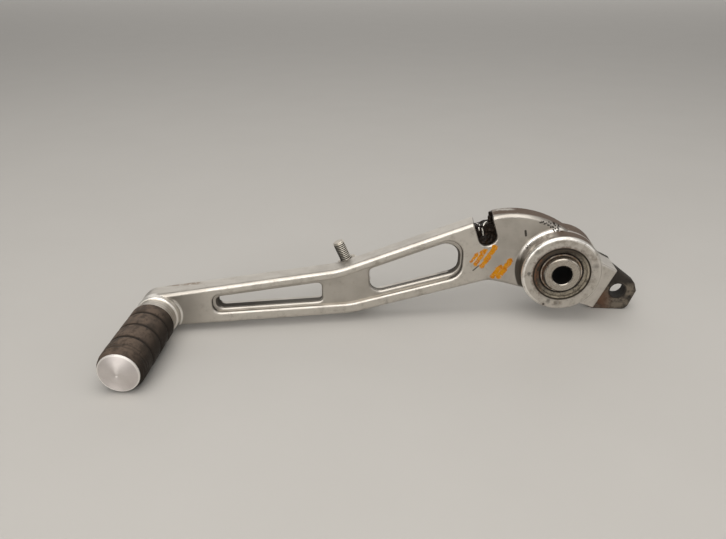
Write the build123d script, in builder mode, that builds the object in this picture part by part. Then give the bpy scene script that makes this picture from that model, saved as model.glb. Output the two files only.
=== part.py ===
from build123d import *
import os
from math import asin, atan2, cos, hypot, radians, sin, tan

# Rear brake pedal of a motorcycle, in millimetres.
# The pivot axis is the Y axis and the origin is its middle. +Z is up, the arm runs along -X, and the toe peg
# points along -Y.

# Pivot bearing
bolt_bore_radius = 5.0
sleeve_radius = 9.0
sleeve_stand_out = 1.3
sleeve_chamfer = 0.5
roller_radius = 1.0
roller_count = 18
cup_width = 16.0
cup_wall = 1.0
cup_lip = 0.8
cage_gap = 0.45
cage_ring = 0.5
cage_end_play = 0.1
running_clearance = 0.02
seat_clearance = 0.02

# Lip seals, with the open side outwards
seal_radius = 14.0
seal_width = 4.0
seal_wall = 1.3
seal_floor = 1.2
seal_set_back = 0.3
lip_clearance = 0.04
lip_thickness = 0.45
lip_set_back = 0.8
garter_wire_radius = 0.45

# Pivot boss and the nose in front of the clevis tab
boss_radius = 20.0
boss_rise = 8.0
boss_edge = 1.6
boss_root = 2.2
boss_back_radius = 17.5
mouth_chamfer = 0.4
nose_reach = 24.5
nose_angle = -22.6
nose_half_width = 11.3
nose_shift = 1.1
nose_taper = 1.6
nose_set_back = 1.0
nose_edge = 1.0

# Plate of the lever: straight at the pivot, swept towards the rider's foot along the arm
plate_thickness = 11.5
plate_edge = 2.0
sweep_angle = 10.0
fold_x = -28.0
fold_radius = 60.0

# Side outline of the arm
peg_x = -200.7
peg_z = -17.5
toe_radius = 10.6
toe_corner = 3.0
upper_bend_x = -112.0
upper_bend_z = 2.0
lower_bend_x = -106.0
lower_bend_z = -23.3
bend_radius = 40.0
lower_toe_z = -24.8
root_x = -35.5
root_z = -8.0
root_radius = 8.0
root_fall = 14.0
hump_x = -12.9
hump_z = 34.9
hump_radius = 48.0
hump_fall = 43.0

# Sunk panel of the arm and its two slots
upper_rim = 4.6
lower_rim = 6.0
panel_depth = 2.0
web_thickness = 5.0
right_web_thickness = 2.8
panel_left_x = -174.3
panel_right_x = -49.6
panel_left_radius = 4.0
panel_right_radius = 8.0
panel_edge = 1.4
slot_margin = 1.9
left_slot_sill = 1.5
right_slot_sill = 2.4
bridge_left = 8.6
bridge_right = 9.4
left_slot_radius = 2.4
left_slot_end_radius = 3.4
right_slot_upper_radius = 2.6
right_slot_lower_radius = 5.6
right_slot_end_radius = 7.2

# Spring notch in the upper edge
notch_x = -40.6
notch_width = 9.4
notch_depth = 14.6
notch_pocket_depth = 5.5
notch_web_drop = 5.2
notch_edge = 0.9

# Clevis tab at the back of the boss
tab_thickness = 7.0
tab_edge = 1.0
tab_corner = 4.0
tab_root_x = 20.0
tab_root_z = 5.5
tab_top_x = 43.4
tab_top_z = -12.2
tab_tip_x = 45.0
tab_tip_z = -17.0
tab_foot_x = 41.4
tab_heel_x = 22.0
clevis_x = 35.0
clevis_z = -16.8
clevis_hole_radius = 4.05

# Toe peg
toe_boss_rise = 1.7
toe_boss_edge = 0.8
toe_boss_root = 1.7
collar_land = 0.1
collar_edge = 0.4
collar_reach = 43.0
toe_back_rise = 1.2
rubber_length = 41.3
rubber_radius = 10.7
rubber_end_radius = 9.7
rubber_end_length = 4.2
groove_radius = 0.6
groove_pitch = 10.5
groove_count = 3
first_groove = 7.2
core_radius = 6.0
spigot_radius = 5.0
spigot_depth = 10.0
head_radius = 9.4
head_rim = 0.6
head_rise = 1.8
head_edge = 0.3
peg_screw_length = 22.0
peg_screw_hole_radius = 3.3
toe_pad_radius = 8.0
washer_radius = 6.2
washer_thickness = 1.2

# Stop screw behind the arm
screw_radius = 3.0
screw_chamfer = 0.6
screw_runout = 3.0
hex_flats = 10.0
screw_head = 4.0
nut_height = 5.0
screw_length = 30.0
screw_tip_x = -113.7
screw_tip_z = 9.3
screw_lean = 23.3
screw_gap = 0.9
nut_below_tip = 10.8
lug_radius = 7.5
lug_height = 10.0

# Reach of the cutters, and how closely an edge must match a place to be picked
outline_reach = 120.0
cutter_overrun = 2.0
edge_match = 0.01

# Worked out from the sizes above
boss_half = cup_width / 2 + seal_width
boss_front = -boss_half
boss_back = boss_half
plate_front = boss_front + boss_rise
plate_back = plate_front + plate_thickness
sweep = radians(sweep_angle)
roller_pitch = sleeve_radius + roller_radius
cup_bore = sleeve_radius + 2 * roller_radius
cup_radius = cup_bore + cup_wall
collar_radius = toe_radius - toe_boss_edge - collar_land
collar_front = -collar_reach
rubber_front = collar_front - rubber_length
floor_z = peg_z - rubber_radius
cage_inner = sleeve_radius + cage_gap
cage_outer = cup_bore - cage_gap
cage_length = cup_width - 2 * cup_lip - 2 * cage_end_play
pocket_length = cage_length - 2 * cage_ring
roller_length = pocket_length - 2 * cage_end_play
seal_seat = seal_radius + seat_clearance
cup_seat = cup_radius + seat_clearance
lip_inner = sleeve_radius + lip_clearance
lip_outer = lip_inner + lip_thickness
garter_y = boss_front + lip_set_back + 2 * garter_wire_radius
sleeve_half = boss_half + sleeve_stand_out
spigot_end = collar_front + spigot_depth
peg_end = rubber_front - head_rim - head_rise
bridge_left_x = upper_bend_x - bridge_left
bridge_right_x = lower_bend_x + bridge_right


def side_plane(y):
    """Plane seen from the front at depth y: local x is X, local y is Z, and it extrudes towards the front."""
    return Plane.XZ.offset(-y)


def depth_in_plate(x, below):
    """Depth of a layer of the arm at x, for its distance below the front face."""
    return plate_front + min(x - fold_x, 0) * tan(sweep) + below / cos(sweep)


def front_of_plate(x):
    """Depth of the arm's front face at x."""
    return depth_in_plate(x, 0)


def round_corner(sketch, point, radius):
    """Round the corner of an open sketch that is nearest to a point."""
    fillet(sketch.vertices().sort_by_distance(point)[0], radius)


def plate_layer(near, far):
    """The bent layer between two depths below the plate's front face."""

    def fold_point(depth):
        return (fold_x - depth * tan(sweep / 2), plate_front + depth)

    def toe_point(depth):
        x, y = fold_point(depth)
        reach = 2 * abs(peg_x)
        return (x - reach * cos(sweep), y - reach * sin(sweep))

    with BuildPart() as layer:
        with BuildSketch(Plane.XY) as section:
            with BuildLine():
                Polyline(
                    (outline_reach, plate_front + near),
                    fold_point(near),
                    toe_point(near),
                    toe_point(far),
                    fold_point(far),
                    (outline_reach, plate_front + far),
                    close=True,
                )
            make_face()
            round_corner(section, fold_point(near), fold_radius + near)
            round_corner(section, fold_point(far), fold_radius + far)
        extrude(amount=outline_reach, both=True)
    return layer.part


def tangent_point(from_x, from_z, centre_x, centre_z, radius):
    """Where the line from a point touches the upper side of a circle that lies to its left."""
    along = atan2(centre_z - from_z, centre_x - from_x)
    reach = hypot(centre_x - from_x, centre_z - from_z)
    turn = asin(radius / reach)
    length = reach * cos(turn)
    return (from_x + length * cos(along - turn), from_z + length * sin(along - turn))


toe_top = tangent_point(upper_bend_x, upper_bend_z, peg_x, peg_z, toe_radius)


def upper_edge(x):
    """Height of the arm's upper edge."""
    if x < upper_bend_x:
        slope = (upper_bend_z - toe_top[1]) / (upper_bend_x - toe_top[0])
    else:
        slope = (hump_z - upper_bend_z) / (hump_x - upper_bend_x)
    return upper_bend_z + slope * (x - upper_bend_x)


def lower_edge(x):
    """Height of the arm's lower edge."""
    if x < lower_bend_x:
        slope = (lower_bend_z - lower_toe_z) / (lower_bend_x - peg_x)
    else:
        slope = (root_z - lower_bend_z) / (root_x - lower_bend_x)
    return lower_bend_z + slope * (x - lower_bend_x)


def nearest_to_pivot(x, z, fall):
    """Point nearest to the pivot axis on the line that falls to the right from a point."""
    along = (cos(radians(fall)), -sin(radians(fall)))
    length = -x * along[0] - z * along[1]
    return (x + length * along[0], z + length * along[1])


def plate_outline():
    """Face of the plate in the side view. Its right end lies inside the boss."""
    with BuildSketch() as outline:
        with BuildLine():
            Polyline(
                toe_top,
                (upper_bend_x, upper_bend_z),
                (hump_x, hump_z),
                nearest_to_pivot(hump_x, hump_z, hump_fall),
                nearest_to_pivot(root_x, root_z, root_fall),
                (root_x, root_z),
                (lower_bend_x, lower_bend_z),
                (peg_x, lower_toe_z),
                (peg_x, peg_z),
                close=True,
            )
        make_face()
        with Locations((peg_x, peg_z)):
            Circle(toe_radius)
        round_corner(outline, (upper_bend_x, upper_bend_z), bend_radius)
        round_corner(outline, (hump_x, hump_z), hump_radius)
        round_corner(outline, (root_x, root_z), root_radius)
        round_corner(outline, (lower_bend_x, lower_bend_z), bend_radius)
        round_corner(outline, (peg_x + toe_radius, lower_toe_z), toe_corner)
    return outline.sketch


def arm_window(left, right, below_rim, above_rim, left_radii, right_radii):
    """Face that follows both rims of the arm between two places along it.

    It is set in from the upper and the lower rim, and each end has the radii of its upper and lower corners.
    """

    def top(x):
        return (x, upper_edge(x) - upper_rim - below_rim)

    def bottom(x):
        return (x, lower_edge(x) + lower_rim + above_rim)

    bends = []
    if left < lower_bend_x < right:
        bends.append(bottom(lower_bend_x))
    if left < upper_bend_x < right:
        bends.append(top(upper_bend_x))
    with BuildSketch() as window:
        with BuildLine():
            Polyline(bottom(left), *bends[:1], bottom(right), top(right), *bends[1:], top(left), close=True)
        make_face()
        for corner in bends:
            round_corner(window, corner, bend_radius)
        round_corner(window, top(left), left_radii[0])
        round_corner(window, bottom(left), left_radii[1])
        round_corner(window, top(right), right_radii[0])
        round_corner(window, bottom(right), right_radii[1])
    return window.sketch


def through_plate(face):
    """Prism of a side-view face, long enough to pass through the whole plate."""
    with BuildPart() as prism:
        with BuildSketch(side_plane(outline_reach)):
            add(face)
        extrude(amount=2 * outline_reach)
    return prism.part


def flare(radius, root, face_y, centre_x=0, centre_z=0):
    """Concave root of a round that stands on the plate's front face, kept inside the plate's rounded edge."""
    with BuildPart() as ring:
        with BuildSketch(Plane(origin=(centre_x, 0, centre_z))):
            with BuildLine():
                low_side = Line((radius - root, face_y + root), (radius + root, face_y + root))
                outer_side = Line(low_side @ 1, (radius + root, face_y))
                curve = RadiusArc(outer_side @ 1, (radius, face_y - root), -root)
                Polyline(curve @ 1, (radius - root, face_y - root), low_side @ 0)
            make_face()
        revolve(axis=Axis((centre_x, 0, centre_z), (0, 1, 0)))
    inner_outline = offset(plate_outline(), amount=-plate_edge)
    return ring.part & through_plate(inner_outline)


def hex_bolt(plane, length):
    """Hexagon bolt with its tip on a plane and its head below."""
    with BuildPart() as bolt:
        with BuildSketch(plane):
            Circle(screw_radius - seat_clearance)
        extrude(amount=-length)
        chamfer(bolt.faces().sort_by_distance(plane.origin)[0].edges(), screw_chamfer)
        with BuildSketch(plane.offset(-length)):
            RegularPolygon(hex_flats / 2, 6, major_radius=False, rotation=30)
        extrude(amount=-screw_head)
    return bolt.part


def is_rim(edge):
    """True for the plate's outline edges, and not for the lines across the fold or for those inside the boss."""
    middle = edge @ 0.5
    across_fold = edge.geom_type == GeomType.LINE and abs((edge @ 0).X - (edge @ 1).X) < edge_match
    return not across_fold and hypot(middle.X, middle.Z) > boss_radius


def lies_at(depth):
    """Test for the arm's edges that lie at a depth below its front face."""
    return lambda edge: abs(((edge @ 0.5).Y - front_of_plate((edge @ 0.5).X)) * cos(sweep) - depth) < edge_match


# Cutters and blocks of the lever
plate_blank = through_plate(plate_outline()) & plate_layer(0, plate_thickness)

panel_left_radii = (panel_left_radius, panel_left_radius)
panel_right_radii = (panel_right_radius, panel_right_radius)
panel = through_plate(arm_window(panel_left_x, panel_right_x, 0, 0, panel_left_radii, panel_right_radii))
front_panel = panel & plate_layer(-cutter_overrun, panel_depth)
back_panel = panel & plate_layer(panel_depth + web_thickness, plate_thickness + cutter_overrun)
left_slot = through_plate(
    arm_window(
        panel_left_x + slot_margin,
        bridge_left_x,
        slot_margin,
        left_slot_sill,
        (left_slot_radius, left_slot_end_radius),
        (left_slot_radius, left_slot_radius),
    )
)
right_slot = through_plate(
    arm_window(
        bridge_right_x,
        panel_right_x - slot_margin,
        slot_margin,
        right_slot_sill,
        (right_slot_upper_radius, right_slot_lower_radius),
        (right_slot_end_radius, right_slot_end_radius),
    )
)
right_back_window = arm_window(bridge_right_x - slot_margin, panel_right_x, 0, 0, panel_left_radii, panel_right_radii)
right_back_panel = through_plate(right_back_window) & plate_layer(
    panel_depth + right_web_thickness, plate_thickness + cutter_overrun
)

notch_lean = atan2(hump_z - upper_bend_z, hump_x - upper_bend_x)
notch_plane = Plane(
    origin=(notch_x, outline_reach, upper_edge(notch_x)),
    x_dir=(cos(notch_lean), 0, sin(notch_lean)),
    z_dir=(0, -1, 0),
)
with BuildPart() as notch_prism:
    with BuildSketch(notch_plane):
        with Locations((0, notch_width / 2 - notch_depth)):
            Circle(notch_width / 2)
            Rectangle(notch_width, notch_depth + cutter_overrun, align=(Align.CENTER, Align.MIN))
    extrude(amount=2 * outline_reach)
notch_pocket = notch_prism.part & plate_layer(-cutter_overrun, notch_pocket_depth)
with BuildPart() as notch_mouth:
    with BuildSketch(notch_plane):
        with Locations((0, -notch_web_drop)):
            Rectangle(notch_width, notch_web_drop + cutter_overrun, align=(Align.CENTER, Align.MIN))
    extrude(amount=2 * outline_reach)

nose_plane = Plane(
    origin=(0, plate_back, 0),
    x_dir=(cos(radians(nose_angle)), 0, sin(radians(nose_angle))),
    z_dir=(0, -1, 0),
)
with BuildPart() as nose:
    with BuildSketch(nose_plane):
        with BuildLine():
            Polyline(
                (0, nose_shift + nose_half_width + nose_taper),
                (nose_reach, nose_shift + nose_half_width),
                (nose_reach, nose_shift - nose_half_width),
                (0, nose_shift - nose_half_width - nose_taper),
                close=True,
            )
        make_face()
    extrude(amount=plate_back - boss_front - nose_set_back)
    fillet(nose.faces().sort_by(Axis.Y)[0].edges().filter_by(lambda e: (e @ 0.5).length > boss_radius), nose_edge)

with BuildPart() as tab:
    with BuildSketch(side_plane(boss_back)) as tab_outline:
        with BuildLine():
            Polyline(
                (0, 0),
                (tab_root_x, tab_root_z),
                (tab_top_x, tab_top_z),
                (tab_tip_x, tab_tip_z),
                (tab_foot_x, floor_z),
                (tab_heel_x, floor_z),
                close=True,
            )
        make_face()
        round_corner(tab_outline, (tab_top_x, tab_top_z), tab_corner)
        round_corner(tab_outline, (tab_foot_x, floor_z), tab_corner)
        round_corner(tab_outline, (tab_heel_x, floor_z), tab_corner)
    extrude(amount=tab_thickness)
    fillet(tab.faces().sort_by(Axis.Y)[-1].edges(), tab_edge)
    fillet(tab.faces().sort_by(Axis.Y)[0].edges(), tab_edge)

peg_plane = Plane(origin=(peg_x, 0, peg_z))
peg_axis = Axis((peg_x, 0, peg_z), (0, 1, 0))
toe_back = depth_in_plate(peg_x, plate_thickness) + toe_back_rise
peg_screw_tip = toe_back + washer_thickness - peg_screw_length
core_hole_end = peg_screw_tip - screw_runout
peg_screw_plane = Plane(origin=(peg_x, peg_screw_tip, peg_z), x_dir=(1, 0, 0), z_dir=(0, -1, 0))

screw_lean_angle = radians(screw_lean)
screw_head_x = screw_tip_x + (screw_length + screw_head) * sin(screw_lean_angle)
screw_y = depth_in_plate(screw_head_x, plate_thickness) + hex_flats / 2 + screw_gap
screw_plane = Plane(
    origin=(screw_tip_x, screw_y, screw_tip_z),
    x_dir=(0, -1, 0),
    z_dir=(-sin(screw_lean_angle), 0, cos(screw_lean_angle)),
)
lug_below_tip = nut_below_tip + nut_height
lug_x = screw_tip_x + (lug_below_tip + lug_height / 2) * sin(screw_lean_angle)
lug_reach = screw_y - depth_in_plate(lug_x, panel_depth + web_thickness / 2)
lug_plane = screw_plane.offset(-lug_below_tip)

boss_flare = flare(boss_radius, boss_root, plate_front)
toe_boss_front = front_of_plate(peg_x) - toe_boss_rise
toe_boss_foot = front_of_plate(peg_x + toe_radius + toe_boss_root)
toe_boss_flare = flare(toe_radius, toe_boss_root, toe_boss_foot, peg_x, peg_z)

with BuildPart() as lever:
    # Plate, sunk panels, slots and spring notch
    add(plate_blank)
    fillet(lever.edges().filter_by(is_rim), plate_edge)
    add(front_panel, mode=Mode.SUBTRACT)
    fillet(lever.edges(Select.LAST).filter_by(lies_at(0)), panel_edge)
    add(back_panel, mode=Mode.SUBTRACT)
    add(right_back_panel, mode=Mode.SUBTRACT)
    for slot in (left_slot, right_slot):
        add(slot, mode=Mode.SUBTRACT)
        fillet(lever.edges(Select.LAST).filter_by(lies_at(panel_depth)), panel_edge)
    add(notch_mouth.part, mode=Mode.SUBTRACT)
    add(notch_pocket, mode=Mode.SUBTRACT)
    fillet(lever.edges(Select.LAST).filter_by(lies_at(0)), notch_edge)

    # Pivot boss with its nose and clevis tab
    with BuildSketch(Plane.XY) as boss_section:
        with BuildLine():
            Polyline(
                (0, boss_front),
                (boss_radius, boss_front),
                (boss_radius, plate_back),
                (boss_back_radius, plate_back),
                (boss_back_radius, boss_back),
                (0, boss_back),
                close=True,
            )
        make_face()
        round_corner(boss_section, (boss_radius, boss_front), boss_edge)
        round_corner(boss_section, (boss_back_radius, boss_back), boss_edge)
    revolve(axis=Axis.Y)
    add(boss_flare)
    add(nose.part)
    add(tab.part)

    # Toe boss and collar
    inside_plate = depth_in_plate(peg_x, plate_thickness / 2)
    with BuildSketch(peg_plane) as toe_section:
        with BuildLine():
            Polyline(
                (0, inside_plate),
                (toe_radius, inside_plate),
                (toe_radius, toe_boss_front),
                (collar_radius, toe_boss_front),
                (collar_radius, collar_front),
                (0, collar_front),
                close=True,
            )
        make_face()
        round_corner(toe_section, (toe_radius, toe_boss_front), toe_boss_edge)
        round_corner(toe_section, (collar_radius, collar_front), collar_edge)
    revolve(axis=peg_axis)
    with BuildSketch(side_plane(toe_back)):
        with Locations((peg_x, peg_z)):
            Circle(toe_pad_radius)
    extrude(amount=plate_thickness / 2)
    add(toe_boss_flare)

    # Lug of the stop screw
    with BuildSketch(lug_plane):
        Circle(lug_radius)
        Rectangle(lug_reach, 2 * lug_radius, align=(Align.MIN, Align.CENTER))
    extrude(amount=-lug_height)

    # Bores
    with BuildSketch(Plane.XY):
        with BuildLine():
            Polyline(
                (0, boss_front - cutter_overrun),
                (seal_seat + mouth_chamfer + cutter_overrun, boss_front - cutter_overrun),
                (seal_seat, boss_front + mouth_chamfer),
                (seal_seat, boss_front + seal_width),
                (cup_seat, boss_front + seal_width),
                (cup_seat, boss_back - seal_width),
                (seal_seat, boss_back - seal_width),
                (seal_seat, boss_back - mouth_chamfer),
                (seal_seat + mouth_chamfer + cutter_overrun, boss_back + cutter_overrun),
                (0, boss_back + cutter_overrun),
                close=True,
            )
        make_face()
    revolve(axis=Axis.Y, mode=Mode.SUBTRACT)
    with BuildSketch(side_plane(boss_back + cutter_overrun)):
        with Locations((clevis_x, clevis_z)):
            Circle(clevis_hole_radius)
    extrude(amount=tab_thickness + 2 * cutter_overrun, mode=Mode.SUBTRACT)
    with BuildSketch(side_plane(collar_front + spigot_depth)):
        with Locations((peg_x, peg_z)):
            Circle(spigot_radius + seat_clearance)
    extrude(amount=spigot_depth + cutter_overrun, mode=Mode.SUBTRACT)
    with BuildSketch(side_plane(toe_back + cutter_overrun)):
        with Locations((peg_x, peg_z)):
            Circle(peg_screw_hole_radius)
    extrude(amount=toe_back - collar_front, mode=Mode.SUBTRACT)
    with BuildSketch(lug_plane):
        Circle(screw_radius)
    extrude(amount=-lug_height - cutter_overrun, mode=Mode.SUBTRACT)
lever.part.label = "lever"

with BuildPart() as bearing_cup:
    with BuildSketch(Plane.XY):
        with BuildLine():
            Polyline(
                (cup_radius, -cup_width / 2),
                (cup_radius, cup_width / 2),
                (cage_inner, cup_width / 2),
                (cage_inner, cup_width / 2 - cup_lip),
                (cup_bore, cup_width / 2 - cup_lip),
                (cup_bore, cup_lip - cup_width / 2),
                (cage_inner, cup_lip - cup_width / 2),
                (cage_inner, -cup_width / 2),
                close=True,
            )
        make_face()
    revolve(axis=Axis.Y)
bearing_cup.part.label = "bearing_cup"

with BuildPart() as needle_cage:
    with BuildSketch(side_plane(cage_length / 2)):
        Circle(cage_outer)
        Circle(cage_inner, mode=Mode.SUBTRACT)
    extrude(amount=cage_length)
    with BuildSketch(side_plane(pocket_length / 2)):
        with PolarLocations(roller_pitch, roller_count):
            Rectangle(2 * roller_radius, 2 * roller_radius + 2 * running_clearance)
    extrude(amount=pocket_length, mode=Mode.SUBTRACT)
needle_cage.part.label = "needle_cage"

with BuildPart() as needle_rollers:
    with BuildSketch(side_plane(roller_length / 2)):
        with PolarLocations(roller_pitch, roller_count):
            Circle(roller_radius - running_clearance)
    extrude(amount=roller_length)
needle_rollers.part.label = "needle_rollers"

with BuildPart() as front_seal:
    with BuildSketch(Plane.XY):
        with BuildLine():
            Polyline(
                (seal_radius, boss_front + seal_width),
                (seal_radius, boss_front + seal_set_back),
                (seal_radius - seal_wall, boss_front + seal_set_back),
                (seal_radius - seal_wall, boss_front + seal_width - seal_floor),
                (lip_outer, boss_front + seal_width - seal_floor),
                (lip_outer, boss_front + lip_set_back),
                (lip_inner, boss_front + lip_set_back),
                (lip_inner, boss_front + seal_width),
                close=True,
            )
        make_face()
    revolve(axis=Axis.Y)
front_seal.part.label = "front_seal"

with BuildPart() as rear_seal:
    add(front_seal.part)
    mirror(about=Plane.XZ, mode=Mode.REPLACE)
rear_seal.part.label = "rear_seal"

with BuildPart() as front_garter_spring:
    with BuildSketch(Plane.XY):
        with Locations((lip_outer + garter_wire_radius, garter_y)):
            Circle(garter_wire_radius - seat_clearance)
    revolve(axis=Axis.Y)
front_garter_spring.part.label = "front_garter_spring"

with BuildPart() as rear_garter_spring:
    add(front_garter_spring.part)
    mirror(about=Plane.XZ, mode=Mode.REPLACE)
rear_garter_spring.part.label = "rear_garter_spring"

with BuildPart() as pivot_sleeve:
    with BuildSketch(side_plane(sleeve_half)):
        Circle(sleeve_radius)
        Circle(bolt_bore_radius, mode=Mode.SUBTRACT)
    extrude(amount=2 * sleeve_half)
    chamfer(pivot_sleeve.edges().filter_by(GeomType.CIRCLE), sleeve_chamfer)
pivot_sleeve.part.label = "pivot_sleeve"

with BuildPart() as peg_core:
    with BuildSketch(peg_plane) as core_section:
        with BuildLine():
            outside = Polyline(
                (screw_radius, spigot_end),
                (spigot_radius, spigot_end),
                (spigot_radius, collar_front),
                (core_radius, collar_front),
                (core_radius, rubber_front),
                (head_radius, rubber_front),
                (head_radius, rubber_front - head_rim),
            )
            dome = TangentArc((0, peg_end), outside @ 1, tangent=(1, 0))
            Polyline(dome @ 0, (0, core_hole_end), (screw_radius, core_hole_end), outside @ 0)
        make_face()
        round_corner(core_section, (head_radius, rubber_front - head_rim), head_edge)
    revolve(axis=peg_axis)
peg_core.part.label = "peg_core"

with BuildPart() as peg_rubber:
    with BuildSketch(peg_plane) as rubber_section:
        with BuildLine():
            side = Polyline(
                (core_radius + seat_clearance, rubber_front),
                (core_radius + seat_clearance, collar_front),
                (rubber_radius, collar_front),
                (rubber_radius, rubber_front + rubber_end_length),
            )
            shoulder = TangentArc(side @ 1, (rubber_end_radius, rubber_front), tangent=(0, -1))
            Line(shoulder @ 1, side @ 0)
        make_face()
        for groove in range(groove_count):
            with Locations((rubber_radius, collar_front - first_groove - groove * groove_pitch)):
                Circle(groove_radius, mode=Mode.SUBTRACT)
    revolve(axis=peg_axis)
peg_rubber.part.label = "peg_rubber"

with BuildPart() as peg_washer:
    with BuildSketch(side_plane(toe_back + washer_thickness)):
        with Locations((peg_x, peg_z)):
            Circle(washer_radius)
            Circle(peg_screw_hole_radius, mode=Mode.SUBTRACT)
    extrude(amount=washer_thickness)
peg_washer.part.label = "peg_washer"

peg_bolt = hex_bolt(peg_screw_plane, peg_screw_length)
stop_bolt = hex_bolt(screw_plane, screw_length)

with BuildPart() as peg_screw:
    add(peg_bolt)
peg_screw.part.label = "peg_screw"

with BuildPart() as adjuster_screw:
    add(stop_bolt)
adjuster_screw.part.label = "adjuster_screw"

with BuildPart() as lock_nut:
    with BuildSketch(screw_plane.offset(-nut_below_tip)):
        RegularPolygon(hex_flats / 2, 6, major_radius=False, rotation=30)
        Circle(screw_radius, mode=Mode.SUBTRACT)
    extrude(amount=-nut_height)
lock_nut.part.label = "lock_nut"

# One file for each piece
os.makedirs("parts", exist_ok=True)
export_step(lever.part, "parts/lever.step")
export_step(bearing_cup.part, "parts/bearing_cup.step")
export_step(needle_cage.part, "parts/needle_cage.step")
export_step(needle_rollers.part, "parts/needle_rollers.step")
export_step(front_seal.part, "parts/front_seal.step")
export_step(rear_seal.part, "parts/rear_seal.step")
export_step(front_garter_spring.part, "parts/front_garter_spring.step")
export_step(rear_garter_spring.part, "parts/rear_garter_spring.step")
export_step(pivot_sleeve.part, "parts/pivot_sleeve.step")
export_step(peg_core.part, "parts/peg_core.step")
export_step(peg_rubber.part, "parts/peg_rubber.step")
export_step(peg_washer.part, "parts/peg_washer.step")
export_step(peg_screw.part, "parts/peg_screw.step")
export_step(adjuster_screw.part, "parts/adjuster_screw.step")
export_step(lock_nut.part, "parts/lock_nut.step")
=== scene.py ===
from math import cos, exp, pi, radians, sin, tan

import bpy
from mathutils import Matrix, Vector, noise


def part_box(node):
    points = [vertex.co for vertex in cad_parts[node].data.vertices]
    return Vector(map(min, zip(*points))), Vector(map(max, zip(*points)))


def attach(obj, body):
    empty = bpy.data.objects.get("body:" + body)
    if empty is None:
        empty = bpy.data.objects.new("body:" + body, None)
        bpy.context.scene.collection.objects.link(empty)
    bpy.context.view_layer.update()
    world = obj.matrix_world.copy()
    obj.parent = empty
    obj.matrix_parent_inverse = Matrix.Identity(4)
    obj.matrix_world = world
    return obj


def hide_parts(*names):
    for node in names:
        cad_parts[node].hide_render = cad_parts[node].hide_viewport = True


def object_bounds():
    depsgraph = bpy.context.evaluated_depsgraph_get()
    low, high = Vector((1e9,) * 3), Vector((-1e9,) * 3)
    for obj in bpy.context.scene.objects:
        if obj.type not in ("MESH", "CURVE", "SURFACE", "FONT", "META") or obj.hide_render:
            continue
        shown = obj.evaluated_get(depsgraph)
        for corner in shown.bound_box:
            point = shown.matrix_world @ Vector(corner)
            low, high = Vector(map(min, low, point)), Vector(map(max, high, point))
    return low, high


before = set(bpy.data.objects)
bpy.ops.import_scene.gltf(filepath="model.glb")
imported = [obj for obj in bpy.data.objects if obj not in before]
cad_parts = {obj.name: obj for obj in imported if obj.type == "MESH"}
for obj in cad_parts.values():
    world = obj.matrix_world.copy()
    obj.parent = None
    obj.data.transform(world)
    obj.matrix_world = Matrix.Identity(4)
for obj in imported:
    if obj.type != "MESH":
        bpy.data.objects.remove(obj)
cad_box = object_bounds()

mm = 0.001

# Places on the lever, in millimetres as in the solids
arm_sweep = radians(10.0)
plate_front = -4.0
plate_thickness = 11.5
fold_x = -28.0
upper_bend = (-112.0, 2.0)
upper_slopes = (0.101, 0.332)
lower_bend = (-106.0, -23.3)
lower_slopes = (0.016, 0.217)
panel_left_x = -181.0
panel_right_x = -49.6
boss_front = -12.0
boss_radius = 20.0
boss_edge = 1.6
boss_root = 2.2
mouth_radius = 14.0
seal_wall_radius = 12.7
seal_floor_depth = 2.8
garter_outer_radius = 10.4
sleeve_radius = 9.0
sleeve_bore_radius = 5.0
notch_x = -40.6
notch_z = 25.7
notch_lean = radians(18.36)
notch_half = 4.7
notch_depth = 14.6
notch_pocket_depth = 5.5
notch_web_drop = 5.2
notch_edge = 0.9
tab_front = 4.8
tab_left = 22.0
clevis_x = 35.0
clevis_z = -16.8
clevis_hole_radius = 4.05
peg_x = -200.7
peg_z = -17.5
toe_radius = 10.6
toe_boss_rise = 1.7
toe_right = -186.0
toe_front = plate_front + (peg_x - fold_x) * tan(arm_sweep) - toe_boss_rise
rubber_radius = 10.7
cap_radius = 9.3
along_arm = Vector((cos(notch_lean), 0.0, sin(notch_lean)))
above_arm = Vector((-sin(notch_lean), 0.0, cos(notch_lean)))
towards_front = Vector((0.0, -1.0, 0.0))

# Wear of the bare metal, painted light on the boss and nose, and painted highlights and shade. What is named
# a fade starts at its first number and is full at its second one.
# Painted light: the boss and the nose in front of the plate are made paler.
lit_end_fade_x = (fold_x, fold_x + 6.0)
lit_end_fade_y = (plate_front - 3.0, plate_front - 5.0)
dull_toe_fade_x = (-172.0, -184.0)
rubbed_arm_x = (-178.0, fold_x - 8.0)
rubbed_layer_fade = (1.2, 0.6)
collar_line_pitch = 1.7
collar_turning_pitch = 0.55
cap_turning_pitch = 0.22
cap_dull_fade = (0.4 * cap_radius, 0.85 * cap_radius)
# Painted highlight on the rim of the peg's head.
cap_rim_highlight_fade = (cap_radius - 0.7, cap_radius - 0.3)
sleeve_turning_pitch = 0.9
# Painted shade: a black line on the lower edge of the sleeve.
sleeve_edge_shade_fade_z = (4.0, -2.0)
# Painted highlights: the boss rim, the root of its flare and two rings of the toe boss.
rim_highlight_fade = (-12.0, 6.0)
root_highlight_fade = (6.0, 15.0)
root_highlight_fade_z = (6.0, 13.0)
toe_inner_ring = (toe_radius - 0.9, toe_radius)
toe_outer_ring = (toe_radius + 0.5, toe_radius + 1.4)
toe_outer_ring_fade_z = (peg_z + 9.5, peg_z + 6.5)
toe_ring_y = (toe_front - 0.1, toe_front + 4.5)
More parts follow.
